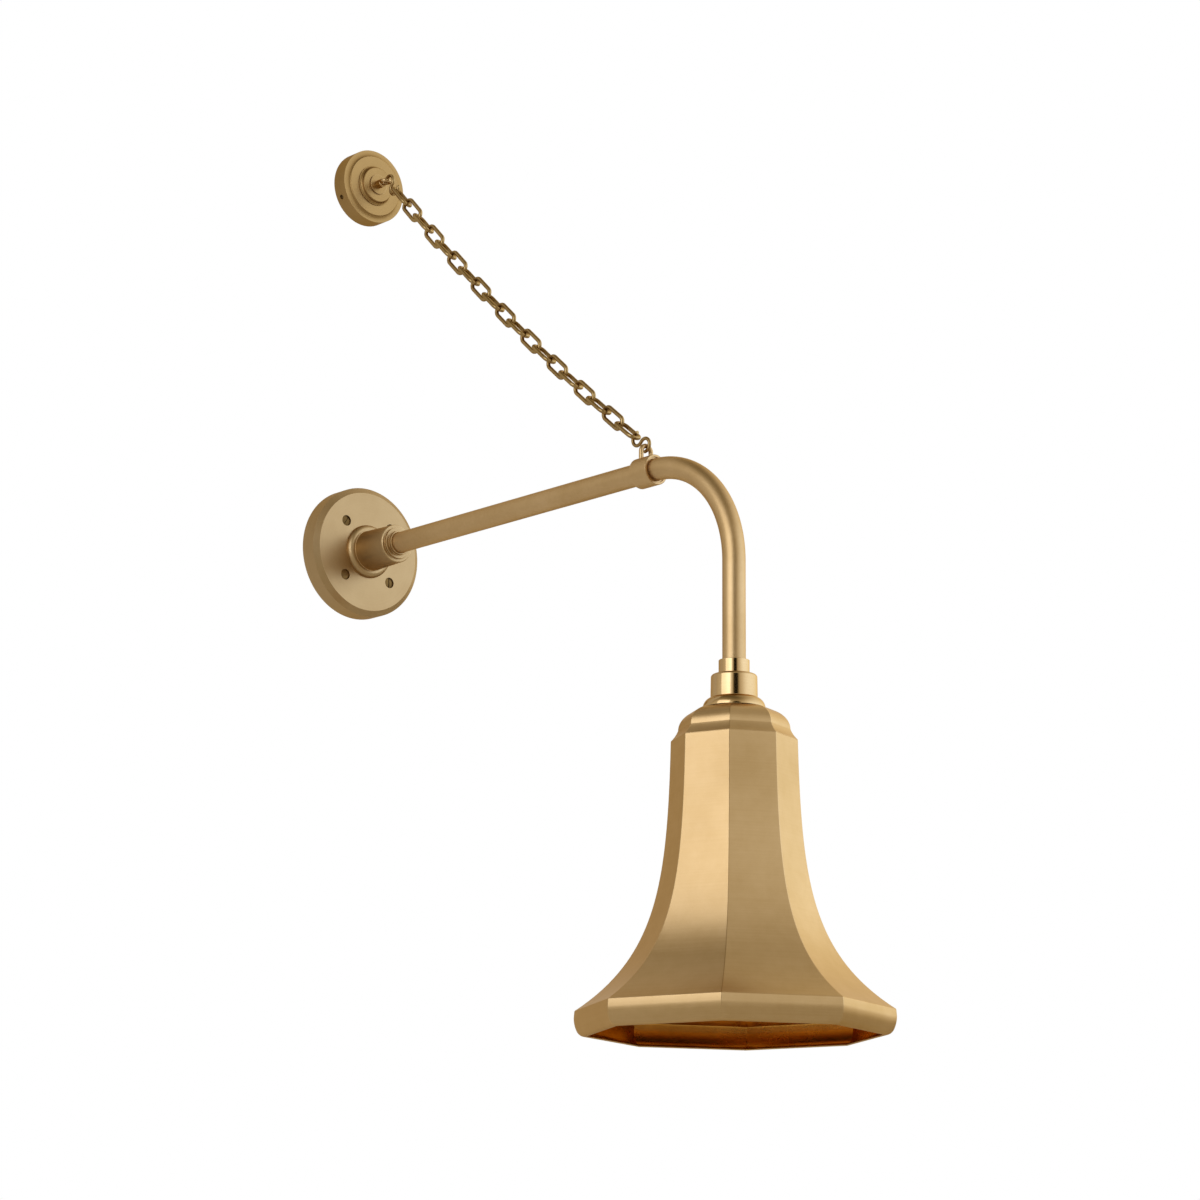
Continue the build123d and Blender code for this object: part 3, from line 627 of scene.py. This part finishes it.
# the flare widens faster and faster on its way down to the crease
fall, flareLength = neckZ - shadeShape["creaseZ"], shadeShape["flareLength"]
spread = (shadeShape["creaseRadius"] - neckRadius) / (exp(fall / flareLength) - 1)
rows = shadeShape["flareRows"]
drops = [1 - (1 - k / rows) ** shadeShape["flareBias"] for k in range(rows + 1)]
flare = [(neckRadius + spread * (exp(fall * t / flareLength) - 1), neckZ - fall * t) for t in drops]

# the rim leans in on one arc and turns under on a tighter one
rimRadius, rimTurnRadius = shadeShape["rimRadius"], shadeShape["rimTurnRadius"]
bellyZ, rimTurnZ, footZ = shadeShape["bellyZ"], shadeShape["rimTurnZ"], shadeShape["footZ"]
lean = 2 * atan2(rimRadius - rimTurnRadius, bellyZ - rimTurnZ)
sideBend = (bellyZ - rimTurnZ) / sin(lean)
footBend = (rimTurnZ - footZ) / (1 - sin(lean))
footX = rimTurnRadius - footBend * cos(lean)
sideTurns = [lean * k / shadeShape["rimRows"] for k in range(shadeShape["rimRows"] + 1)]
footTurns = [lean + (pi / 2 - lean) * k / shadeShape["lipRows"]
             for k in range(1, shadeShape["lipRows"] + 1)]
rimSide = [(rimRadius - sideBend * (1 - cos(t)), bellyZ - sideBend * sin(t)) for t in sideTurns]
rimFoot = [(footX + footBend * cos(t), footZ + footBend - footBend * sin(t)) for t in footTurns]
bell = newPiece("shadeBell", octagonShell(flare + rimSide + rimFoot))
giveSkin(bell)
dress(bell, brass["shade"], fixedBody, ["shade_bell"], edge=shadeShape["ridge"], angle=17.0,
      wearAndHighlight=False)
print("crown and bell")

# lamp holder and its leads
tidyNode("crown_nut", "crownNut", yellowBrass)
tidyNode("socket_nipple", "socketNipple", yellowBrass)
tidyNode("socket_cap", "socketCap", capAluminium)
tidyNode("socket_body", "socketBody", porcelain, edge=0.5)
tidyNode("screw_shell", "screwShell", yellowBrass, edge=0.1)
tidyNode("centre_contact", "centreContact", yellowBrass, edge=0.1)
tidyNode("terminal_screws", "terminalScrews", yellowBrass)
tidyNode("live_wire", "liveWire", blackCover, edge=0)
tidyNode("neutral_wire", "neutralWire", whiteCover, edge=0)
tidyNode("wire_connectors", "wireConnectors", orangeCap, edge=0.2)

# the rolled thread that shows inside the screw shell
threadShape = {"radius": 13.35, "wire": 0.42, "pitch": 3.63, "turns": 5, "top": -251.0,
               "perTurn": 36}
shellThread = bmesh.new()
loop = wireRing(shellThread, threadShape["wire"],
                (threadShape["radius"], dropY, threadShape["top"]), (0, 1, 0), 8)
corners = list({v for e in loop for v in e.verts})
bmesh.ops.spin(shellThread, geom=corners + loop, cent=(0, dropY * mm, 0), axis=(0, 0, 1),
               dvec=(0, 0, -threadShape["pitch"] / threadShape["perTurn"] * mm),
               angle=2 * pi * threadShape["turns"],
               steps=threadShape["turns"] * threadShape["perTurn"])
dress(newPiece("shellThread", closeEnds(shellThread)), yellowBrass, fixedBody, [],
      edge=0)
print("lamp holder and leads")

# fixings behind the plates
tidyNode("mounting_strap", "mountingStrap", zinc, edge=0.25)
tidyNode("boss_washer", "bossWasher", zinc)
tidyNode("boss_lock_nut", "bossLockNut", yellowBrass, edge=0.3)
tidyNode("ground_screw", "groundScrew", greenZinc, edge=0.2)
tidyNode("anchor_disc", "anchorDisc", zinc, edge=0.25)
tidyNode("stud_nut", "studNut", yellowBrass, edge=0.25)
tidyNode("cup_set_screws", "cupSetScrews", shadedScrewBrass)
print("fixings behind the plates")

# upper canopy: a spun cup with coved corners and three set screws round its side
canopyShape = {
    "radius": 34.925, "edgeDepth": 15.4, "depth": 17.5, "faceRadius": 28.6, "sheet": 2.0,
    "hollowEdge": 1.0, "hollowFace": 0.6, "tierOne": 19.2, "tierTwo": 16.8, "tierWall": 2.3,
    "front": 22.0, "round": 0.9, "coveFoot": 0.7, "studHole": 3.2,
    "grubDepth": 7.0, "grubAngle": -153.0, "grubCount": 3, "grubHole": 2.25, "grubCut": 8.0,
}
canopyFace, canopyFront = canopyShape["depth"], canopyShape["front"]
canopyBack = canopyFace - canopyShape["sheet"]
canopyInner = canopyShape["radius"] - canopyShape["sheet"]
tierBack = canopyFront - canopyShape["sheet"]
tierInner = canopyShape["tierTwo"] - canopyShape["tierWall"]
rounding = canopyShape["round"]
tierRound = quarter((canopyShape["tierTwo"] - rounding, canopyFront - rounding), rounding, rounding,
                    90, 0, 5)
tierCove = quarter((canopyShape["tierOne"], canopyFront - rounding),
                   canopyShape["tierOne"] - canopyShape["tierTwo"],
                   canopyFront - rounding - canopyFace - canopyShape["coveFoot"], 180, 270, 8)[1:]
edgeCove = quarter((canopyShape["radius"], canopyFace),
                   canopyShape["radius"] - canopyShape["faceRadius"],
                   canopyFace - canopyShape["edgeDepth"], 180, 270, 10)
canopyCup = newPiece("canopyCup", turnedShape(
    [(canopyShape["studHole"], canopyFront)] + tierRound + tierCove
    + [(canopyShape["tierOne"], canopyFace)] + edgeCove + [
        (canopyShape["radius"], 0), (canopyInner, 0),
        (canopyInner, canopyShape["edgeDepth"] - canopyShape["hollowEdge"]),
        (canopyShape["faceRadius"] - canopyShape["hollowFace"], canopyBack),
        (tierInner, canopyBack), (tierInner, tierBack), (canopyShape["studHole"], tierBack)],
    "arm", canopyZ, steps=120))
for k in range(canopyShape["grubCount"]):
    turn = radians(canopyShape["grubAngle"] + 360 / canopyShape["grubCount"] * k)
    out = Vector((cos(turn), 0, sin(turn)))
    middle = Vector((0, -canopyShape["grubDepth"], canopyZ)) + out * canopyShape["radius"]
    carve(canopyCup, drill(middle, out, canopyShape["grubHole"], canopyShape["grubCut"], 24))
dress(canopyCup, brass["canopy"], fixedBody, ["anchor_cup"], edge=0.3, angle=26.0)

washerShape = {"bore": 3.05, "radius": 9.5, "front": 23.2}
washer = newPiece("canopyWasher", turnedShape([
    (washerShape["bore"], canopyFront), (washerShape["radius"], canopyFront),
    (washerShape["radius"], washerShape["front"]), (washerShape["bore"], washerShape["front"])],
    "arm", canopyZ, steps=64))
dress(washer, brass["canopy"], fixedBody, ["anchor_washer"], edge=0.3)

# the stud through the canopy carries the ring that the chain hangs from
studShape = {"rear": 14.0, "shank": 3.0, "neck": 4.0, "neckFront": 30.0, "tip": 1.0,
             "ringDepth": 33.4, "ringRadius": 4.2, "ringWire": 1.6}
canopyEye = newPiece("canopyEye", turnedShape([
    (0.0, studShape["rear"]), (studShape["shank"], studShape["rear"]),
    (studShape["shank"], washerShape["front"]), (studShape["neck"], washerShape["front"]),
    (studShape["neck"], studShape["neckFront"] - studShape["tip"]),
    (studShape["neck"] - studShape["tip"], studShape["neckFront"]),
    (0.0, studShape["neckFront"])], "arm", canopyZ, steps=48, closed=False))
eyeRing = bmesh.new()
loop = wireRing(eyeRing, studShape["ringWire"],
                (studShape["ringRadius"], -studShape["ringDepth"], canopyZ), (0, 1, 0), 24)
spinLoop(eyeRing, loop, (0, -studShape["ringDepth"], canopyZ), (0, 0, 1), 360, 48)
carve(canopyEye, closeEnds(eyeRing), "UNION")
dress(canopyEye, brass["drop"], fixedBody, ["anchor_eye"], edge=0.25, angle=40.0)
print("upper canopy")

# the chain sags between the two eyes, and each link lies along its line
chainShape = {
    "sag": 12.9, "linkCount": 19, "linkWire": 1.85, "linkWidth": 14.6, "gap": 0.3,
    "twistTop": 12.0, "twistFoot": -4.0, "hookWire": 1.5, "hookRadius": 5.8, "hookSweep": 235.0,
    "steps": 400, "wireSides": 20, "linkRows": 20, "hookRows": 36,
}
chainTop = Vector((0, -(studShape["ringDepth"] + studShape["ringRadius"]), canopyZ))
chainFoot = Vector((0, -eyeShape["depth"], eyeShape["top"]))
linkWire, linkCount = chainShape["linkWire"], chainShape["linkCount"]
hookRadius = chainShape["hookRadius"]


def hang(u):
    drop = 4 * chainShape["sag"] * u * (1 - u)
    return chainTop.lerp(chainFoot, u) - Vector((0, 0, drop))


track = [hang(k / chainShape["steps"]) for k in range(chainShape["steps"] + 1)]
runs = [0.0]
for here, there in zip(track, track[1:]):
    runs.append(runs[-1] + (there - here).length)


def along(distance):
    k = max(i for i, run in enumerate(runs[:-1]) if run <= distance)
    step = track[k + 1] - track[k]
    return track[k] + step * ((distance - runs[k]) / step.length), step.normalized()


def held(wire):
    # how far a held wire sits from the centre of the hook's curl
    return hookRadius - chainShape["hookWire"] - wire - chainShape["gap"]


crownGap = 2 * linkWire + chainShape["gap"]
spanTop = held(studShape["ringWire"]) + 2 * hookRadius + held(linkWire)
spanFoot = held(eyeShape["wire"]) + 2 * hookRadius + held(linkWire)
linkLength = (runs[-1] - spanTop - spanFoot + (linkCount - 1) * crownGap) / linkCount
halfWidth = chainShape["linkWidth"] / 2 - linkWire
halfStraight = linkLength / 2 - halfWidth


def placed(bm, name, middle, ahead, facing, nodes):
    across = facing.cross(ahead)
    turn = Matrix((ahead, across, facing)).transposed().to_4x4()
    bm.transform(Matrix.Translation(middle * mm) @ turn)
    dress(newPiece(name, bm), brassChain, chainBody, nodes, edge=0.2, angle=60.0)


def ovalLink():
    bm = bmesh.new()
    loop = wireRing(bm, linkWire, (-halfStraight, -halfWidth, 0), (1, 0, 0),
                    chainShape["wireSides"])
    loop = pushLoop(bm, loop, (2 * halfStraight, 0, 0))[1]
    loop = spinLoop(bm, loop, (halfStraight, 0, 0), (0, 0, 1), 180, chainShape["linkRows"])
    loop = pushLoop(bm, loop, (-2 * halfStraight, 0, 0))[1]
    spinLoop(bm, loop, (-halfStraight, 0, 0), (0, 0, 1), 180, chainShape["linkRows"])
    return closeEnds(bm)


def doubleHook():
    # two open curls that part from one section, one to each side
    bm = bmesh.new()
    loop = wireRing(bm, chainShape["hookWire"], (0, 0, 0), (0, 1, 0), chainShape["wireSides"])
    corners = list({v for e in loop for v in e.verts})
    twin = bmesh.ops.duplicate(bm, geom=corners + loop)["geom"]
    twinLoop = [g for g in twin if isinstance(g, bmesh.types.BMEdge)]
    for edges, side in ((loop, 1), (twinLoop, -1)):
        spinLoop(bm, edges, (side * hookRadius, 0, 0), (0, 0, 1), -chainShape["hookSweep"],
                 chainShape["hookRows"])
    return closeEnds(bm)


ends = []
twistSpan = chainShape["twistFoot"] - chainShape["twistTop"]
for k in range(linkCount):
    middle, ahead = along(spanTop + linkLength / 2 + k * (linkLength - crownGap))
    twist = chainShape["twistTop"] + twistSpan * k / (linkCount - 1)
    quarterTurn = 90 if k % 2 == 0 else 0
    facing = Matrix.Rotation(radians(-twist + quarterTurn), 3, ahead) @ Vector((1, 0, 0))
    placed(ovalLink(), f"chainLink{k + 1:02d}", middle, ahead, facing, [f"link_{k + 1:02d}"])
    ends.append((middle - ahead * linkLength / 2, middle + ahead * linkLength / 2))

for name, node, start, end, wire, side in (
        ("topHook", "top_hook", chainTop, ends[0][0], studShape["ringWire"], 1),
        ("bottomHook", "bottom_hook", ends[-1][1], chainFoot, linkWire, -1)):
    ahead = (end - start).normalized()
    placed(doubleHook(), name, start + ahead * (held(wire) + hookRadius), ahead,
           Vector((side, 0, 0)), [node])
print("chain and hooks")

# pale floor far below the fitting, nearly white to the camera
studio = {"floorZ": -3.6, "floorSize": 30.0, "floorTone": (0.78, 0.73, 0.64, 1.0),
          "floorRoughness": 0.8, "paleness": 0.7}
floorShape = bmesh.new()
bmesh.ops.create_grid(floorShape, x_segments=2, y_segments=2, size=studio["floorSize"] / 2,
                      matrix=Matrix.Translation((0, 0, studio["floorZ"])))
floor = newPiece("studioFloor", floorShape)
floorPaint = Paint(bpy.data.materials.new("paleFloor"))
floorShader = floorPaint.add("BsdfPrincipled", {"Base Color": studio["floorTone"],
                                                "Roughness": studio["floorRoughness"]})
floorGlow = floorPaint.add("Emission", {"Color": (1.0, 1.0, 1.0, 1.0), "Strength": 1.0})
floorSeen = floorPaint.add("LightPath", output="Is Camera Ray") * studio["paleness"]
floorPaint.add("OutputMaterial", {"Surface": floorPaint.add("MixShader", {
    0: floorSeen, 1: floorShader, 2: floorGlow})})
floor.data.materials.append(floorPaint.owner)

# the fitting hangs on a mid-toned board that only its reflections show
board = {"left": -0.46, "right": 0.16, "top": 0.85, "foot": -0.95, "depth": 0.006,
         "tone": (0.59, 0.56, 0.505, 1.0)}
boardShape = bmesh.new()
boardMiddle = ((board["left"] + board["right"]) / 2, board["depth"],
               (board["top"] + board["foot"]) / 2)
boardSize = Matrix.Diagonal((board["right"] - board["left"], board["top"] - board["foot"], 1, 1))
bmesh.ops.create_grid(boardShape, x_segments=2, y_segments=2, size=0.5,
                      matrix=Matrix.Translation(boardMiddle) @ Matrix.Rotation(pi / 2, 4, "X")
                      @ boardSize)
backBoard = newPiece("backBoard", boardShape)
boardPaint = Paint(bpy.data.materials.new("boardTone"))
boardGlow = boardPaint.add("Emission", {"Color": board["tone"], "Strength": 1.0})
boardPaint.add("OutputMaterial", {"Surface": boardGlow})
backBoard.data.materials.append(boardPaint.owner)
backBoard.visible_camera = False
backBoard.visible_shadow = False

# the room's light: broad soft lobes, placed in degrees by their turn from the camera's side
# and their rise
room = {"cameraSide": 42.0, "ground": 0.42, "ceiling": 0.32, "warmth": (0.79, 0.38),
        "coolness": (0.22, 0.60), "horizon": 0.10, "horizonSlope": 4.0, "darkest": 0.02}
lobes = (
    {"turn": -60, "rise": 20, "power": 3.0, "amount": 0.45},  # spill round the tall box at the left
    {"turn": 128, "rise": 10, "power": 1.3, "amount": 1.15},  # white wall at the right
    {"turn": -24, "rise": 12, "power": 16.0, "amount": 0.75},  # lit curtain left of the camera
    {"turn": 55, "rise": 12, "power": 4.0, "amount": 0.68},  # reflector in front, to the right
)
darkDoor = {"turn": 7, "rise": 12, "power": 50.0, "amount": 1.8}  # unlit doorway behind the camera


def towards(lobe):
    turn, rise = radians(room["cameraSide"] - lobe["turn"]), radians(lobe["rise"])
    return (-sin(turn) * cos(rise), -cos(turn) * cos(rise), sin(rise))


world = bpy.data.worlds.new("studioSky")
bpy.context.scene.world = world
sky = Paint(world)
direction = sky.add("TexCoord", output="Generated")


def lobeLevel(lobe):
    facing = sky.add("VectorMath", {0: direction, 1: towards(lobe)}, output=1,
                     operation="DOT_PRODUCT")
    return facing.atLeast(0.0) ** lobe["power"] * lobe["amount"]


height = sky.add("SeparateXYZ", {"Vector": direction}, output=2)
lit = sum((lobeLevel(lobe) for lobe in lobes), 0.0)
lit = lit * ((height + room["horizon"]) * room["horizonSlope"]).between()
level = room["ground"] - height.atLeast(0.0) * room["ceiling"] + lit
level = level * (1 - lobeLevel(darkDoor)).atLeast(room["darkest"])
green, blue = (level * (warm + level * cool)
               for warm, cool in zip(room["warmth"], room["coolness"]))
glow = sky.add("CombineColor", {0: level, 1: green, 2: blue})
path = sky.add("LightPath", output="Is Camera Ray")
seen = path.atLeast(path.out("Is Transmission Ray"))
shownSky = sky.add("Background", {"Color": (1.0, 1.0, 1.0, 1.0), "Strength": 1.0})
litSky = sky.add("Background", {"Color": glow, "Strength": 1.0})
sky.add("OutputWorld", {"Surface": sky.add("MixShader", {0: seen, 1: litSky, 2: shownSky})})

# tall soft box at the left
tallBox = {"spot": (-1.05, -0.60, 0.22), "aim": (0.0, -0.47, -0.10), "size": (0.95, 0.92),
           "power": 3.1, "colour": (0.93, 1.0, 1.13)}
lamp = bpy.data.lights.new("tallBox", "AREA")
lamp.shape = "RECTANGLE"
lamp.size, lamp.size_y = tallBox["size"]
lamp.energy = tallBox["power"]
lamp.color = tallBox["colour"]
holder = bpy.data.objects.new("tallBox", lamp)
holder.location = tallBox["spot"]
boxAim = Vector(tallBox["aim"]) - Vector(tallBox["spot"])
holder.rotation_euler = boxAim.to_track_quat("-Z", "Y").to_euler()
bpy.context.scene.collection.objects.link(holder)

viewpoint = {
    "spot": (-1.850227, -2.455355, -0.746948), "azimuth": -42.02, "elevation": -12.316,
    "roll": 0.245, "focalPixels": 3407.15, "centre": (646.021, 639.282), "frame": 1200.0,
    "filmWidth": 36.0, "clip": (0.05, 30.0),
}
azimuth, elevation = radians(viewpoint["azimuth"]), radians(viewpoint["elevation"])
roll = radians(viewpoint["roll"])
behind = Vector((sin(azimuth) * cos(elevation), -cos(azimuth) * cos(elevation), sin(elevation)))
right = Vector((cos(azimuth), sin(azimuth), 0))
up = right.cross(-behind)
tiltRight = right * cos(roll) + up * sin(roll)
tiltUp = up * cos(roll) - right * sin(roll)
picture = viewpoint["frame"]
lens = bpy.data.cameras.new("studioCamera")
lens.sensor_width = viewpoint["filmWidth"]
lens.lens = viewpoint["focalPixels"] / picture * viewpoint["filmWidth"]
lens.shift_x = (picture / 2 - viewpoint["centre"][0]) / picture
lens.shift_y = (viewpoint["centre"][1] - picture / 2) / picture
lens.clip_start, lens.clip_end = viewpoint["clip"]
camera = bpy.data.objects.new("studioCamera", lens)
cameraTurn = Matrix((tiltRight, tiltUp, behind)).transposed().to_4x4()
camera.matrix_world = Matrix.Translation(viewpoint["spot"]) @ cameraTurn
bpy.context.scene.collection.objects.link(camera)
bpy.context.scene.camera = camera
bpy.context.scene.view_settings.view_transform = "Standard"
print("studio and camera")
